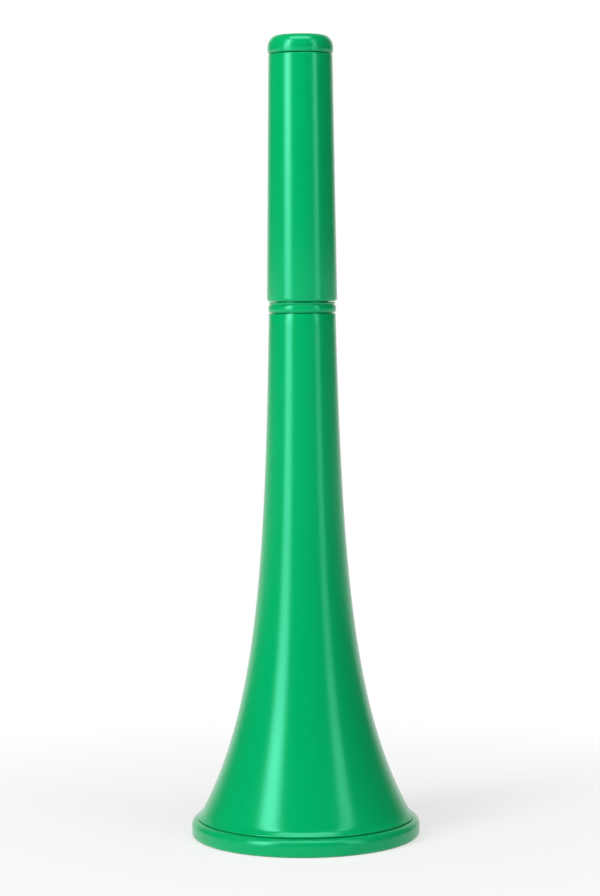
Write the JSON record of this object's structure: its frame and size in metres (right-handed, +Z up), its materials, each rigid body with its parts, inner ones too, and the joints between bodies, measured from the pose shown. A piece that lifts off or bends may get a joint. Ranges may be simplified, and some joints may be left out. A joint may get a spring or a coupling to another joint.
{
  "type": "collapsible horn",
  "caption": "Moulded plastic stadium horn whose middle and mouthpiece sections telescope down into a flared bell; it stands on the bell's rim.",
  "frame": {"origin": "centre of the bell rim's flat underside, on the horn's axis", "axes": "+Z up the horn's axis, from the bell to the mouthpiece; X and Y lie in the plane that the bell stands on, with the slits of the split stop rings towards +Y"},
  "size_m": [0.102, 0.102, 0.3555],
  "materials": {
    "green_shell": "glossy injection-moulded green plastic",
    "green_tube": "satin-gloss extruded green plastic, lightly rubbed along its length",
    "acetal": "waxy off-white bearing plastic",
    "seal_rubber": "black seal rubber with a thin film of grease"
  },
  "bodies": {
    "bell_section": {"bell": "green_shell", "bell_rim": "green_shell", "neck_bush": "acetal", "neck_collar": "green_shell", "neck_seal": "seal_rubber"},
    "middle_ring": {"middle_stop_ring": "acetal"},
    "middle_section": {"middle_tube": "green_tube", "grip_tube": "green_shell", "grip_end_ring": "green_shell", "mouthpiece_bush": "acetal", "mouthpiece_seal": "seal_rubber"},
    "mouthpiece_ring": {"mouthpiece_stop_ring": "acetal"},
    "mouthpiece_section": {"mouthpiece_tube": "green_tube", "mouthpiece_cup": "green_shell", "mouthpiece_cap": "green_shell"}
  },
  "joints": [
    {"name": "middle_slide", "type": "slide", "parent": "bell_section", "child": "middle_ring", "axis": [0, 0, 1], "range_m": [0, 0.12]},
    {"name": "middle_swivel", "type": "hinge", "parent": "middle_ring", "child": "middle_section", "pos_m": [0, 0, 0.0729], "axis": [0, 0, 1], "continuous": true},
    {"name": "mouthpiece_slide", "type": "slide", "parent": "middle_section", "child": "mouthpiece_ring", "axis": [0, 0, 1], "range_m": [0, 0.15]},
    {"name": "mouthpiece_swivel", "type": "hinge", "parent": "mouthpiece_ring", "child": "mouthpiece_section", "pos_m": [0, 0, 0.1574], "axis": [0, 0, 1], "continuous": true}
  ]
}
